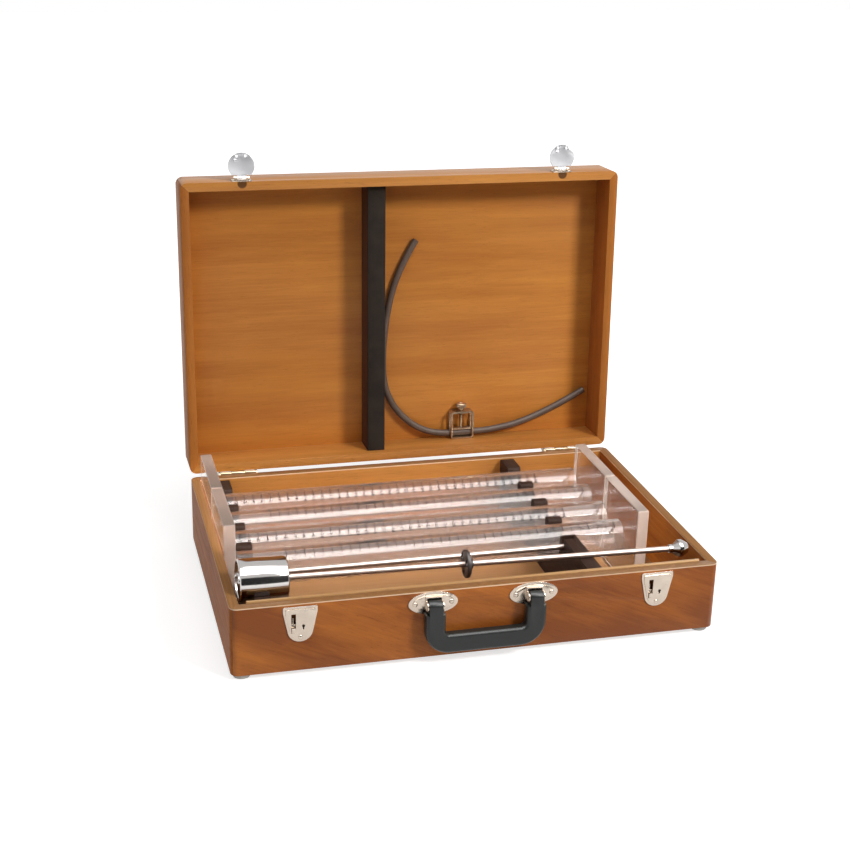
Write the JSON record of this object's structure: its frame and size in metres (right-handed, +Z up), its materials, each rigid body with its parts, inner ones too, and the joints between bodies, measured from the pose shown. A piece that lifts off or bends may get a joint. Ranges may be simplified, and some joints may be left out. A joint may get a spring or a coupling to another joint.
{
  "type": "sand equivalent tester",
  "caption": "Hinged wooden carrying case with racks that hold clear graduated cylinders, a weighted foot and a steel tube; a rubber hose with a screw clamp lies in the lid.",
  "frame": {"origin": "on the ground plane under the middle of the open case's bounding box", "axes": "+X along the case to the right, +Y towards the hinges, +Z up"},
  "size_m": [0.52, 0.4258, 0.4593],
  "materials": {
    "case_wood": "varnished reddish brown hardwood",
    "lid_wood": "varnished tan hardwood",
    "floor_ply": "varnished plywood",
    "lid_ply": "varnished orange-brown plywood",
    "lip_wood": "varnished light wood",
    "foot_plastic": "pale moulded",
    "rack_wood": "dark stained",
    "bar_wood": "dark stained",
    "bar_felt": "black felt strip",
    "handle_plastic": "black moulded, satin",
    "weight_chrome": "bright turned",
    "rod_steel": "bright drawn",
    "foot_chrome": "bright turned",
    "indicator_nylon": "dark turned nylon",
    "screw_steel": "plated",
    "hose_rubber": "brown-grey rubber",
    "clamp_brass": "worn nickel over brass",
    "acrylic_tube": "clear acrylic with engraved scale",
    "acrylic_plate": "clear acrylic",
    "hinge_steel": "plated steel",
    "nickel": "nickel plated steel"
  },
  "bodies": {
    "case_base": {"base_front": "case_wood", "base_back": "case_wood", "base_left": "case_wood", "base_right": "case_wood", "base_floor": "floor_ply", "front_lip": "lip_wood", "feet": "foot_plastic", "rack_left": "rack_wood", "rack_right": "rack_wood", "hinge_leaf_base_left": "hinge_steel", "hinge_leaf_base_right": "hinge_steel", "hinge_pins": "hinge_steel", "hinge_screws_base": "hinge_steel", "lock_plate_left": "nickel", "lock_plate_right": "nickel", "lock_rivets": "nickel", "handle_plate_left": "nickel", "handle_plate_right": "nickel", "handle_pins": "nickel", "handle_rivets": "nickel"},
    "case_lid": {"lid_front": "lid_wood", "lid_back": "lid_wood", "lid_left": "lid_wood", "lid_right": "lid_wood", "lid_panel": "lid_ply", "hold_down_bar": "bar_wood", "bar_pad": "bar_felt", "hinge_leaf_lid_left": "hinge_steel", "hinge_leaf_lid_right": "hinge_steel", "hinge_screws_lid": "hinge_steel", "hasp_bracket_left": "nickel", "hasp_bracket_right": "nickel", "hasp_pins": "nickel", "hasp_rivets": "nickel", "hose": "hose_rubber", "clamp_frame": "clamp_brass"},
    "hasp_left": {"hasp_left": "nickel"},
    "hasp_right": {"hasp_right": "nickel"},
    "handle": {"handle": "handle_plastic"},
    "lock_slide_left": {"lock_slide_left": "nickel"},
    "lock_slide_right": {"lock_slide_right": "nickel"},
    "cylinder_a": {"cylinder_tube_a": "acrylic_tube", "cylinder_base_a": "acrylic_plate"},
    "cylinder_b": {"cylinder_tube_b": "acrylic_tube", "cylinder_base_b": "acrylic_plate"},
    "cylinder_c": {"cylinder_tube_c": "acrylic_tube", "cylinder_base_c": "acrylic_plate"},
    "cylinder_d": {"cylinder_tube_d": "acrylic_tube", "cylinder_base_d": "acrylic_plate"},
    "weighted_foot": {"weight": "weight_chrome", "weight_rod": "rod_steel", "weight_foot": "foot_chrome", "sand_indicator": "indicator_nylon", "indicator_screw": "screw_steel"},
    "irrigator": {"irrigator_tube": "rod_steel"},
    "clamp_jaw": {"clamp_jaw": "clamp_brass"},
    "clamp_screw": {"clamp_screw": "clamp_brass"}
  },
  "joints": [
    {"name": "lid_hinge", "type": "hinge", "parent": "case_base", "child": "case_lid", "pos_m": [0, 0.14954, 0.08125], "axis": [-1, 0, 0], "range_deg": [-92.5, 0]},
    {"name": "hasp_left_hinge", "type": "hinge", "parent": "case_lid", "child": "hasp_left", "pos_m": [-0.19, 0.17006, 0.43089], "axis": [-1, 0, 0], "range_deg": [-90, 85]},
    {"name": "hasp_right_hinge", "type": "hinge", "parent": "case_lid", "child": "hasp_right", "pos_m": [0.19, 0.17006, 0.43089], "axis": [-1, 0, 0], "range_deg": [-90, 85]},
    {"name": "handle_hinge", "type": "hinge", "parent": "case_base", "child": "handle", "pos_m": [0, -0.20636, 0.068], "axis": [-1, 0, 0], "range_deg": [0, 110]},
    {"name": "lock_slide_left_travel", "type": "slide", "parent": "case_base", "child": "lock_slide_left", "axis": [0, 0, 1], "range_m": [0, 0.004]},
    {"name": "lock_slide_right_travel", "type": "slide", "parent": "case_base", "child": "lock_slide_right", "axis": [0, 0, 1], "range_m": [0, 0.004]},
    {"name": "cylinder_a_lift", "type": "slide", "parent": "case_base", "child": "cylinder_a", "axis": [0, 0, 1], "range_m": [0, 0.12]},
    {"name": "cylinder_b_lift", "type": "slide", "parent": "case_base", "child": "cylinder_b", "axis": [0, 0, 1], "range_m": [0, 0.12]},
    {"name": "cylinder_c_lift", "type": "slide", "parent": "case_base", "child": "cylinder_c", "axis": [0, 0, 1], "range_m": [0, 0.12]},
    {"name": "cylinder_d_lift", "type": "slide", "parent": "case_base", "child": "cylinder_d", "axis": [0, 0, 1], "range_m": [0, 0.12]},
    {"name": "weighted_foot_lift", "type": "slide", "parent": "case_base", "child": "weighted_foot", "axis": [0, 0, 1], "range_m": [0, 0.12]},
    {"name": "irrigator_lift", "type": "slide", "parent": "case_base", "child": "irrigator", "axis": [0, 0, 1], "range_m": [0, 0.12]},
    {"name": "clamp_jaw_travel", "type": "slide", "parent": "case_lid", "child": "clamp_jaw", "axis": [0, 0.0436, 0.999], "range_m": [0, 0.01]},
    {"name": "clamp_screw_turn", "type": "hinge", "parent": "clamp_jaw", "child": "clamp_screw", "pos_m": [0.0815, 0.18688, 0.11225], "axis": [0, 0.0436, 0.999], "range_deg": [0, 3600]}
  ],
  "couplings": [
    {"joint": "clamp_screw_turn", "follows": "clamp_jaw_travel", "rad_per_m": 6283.2}
  ]
}
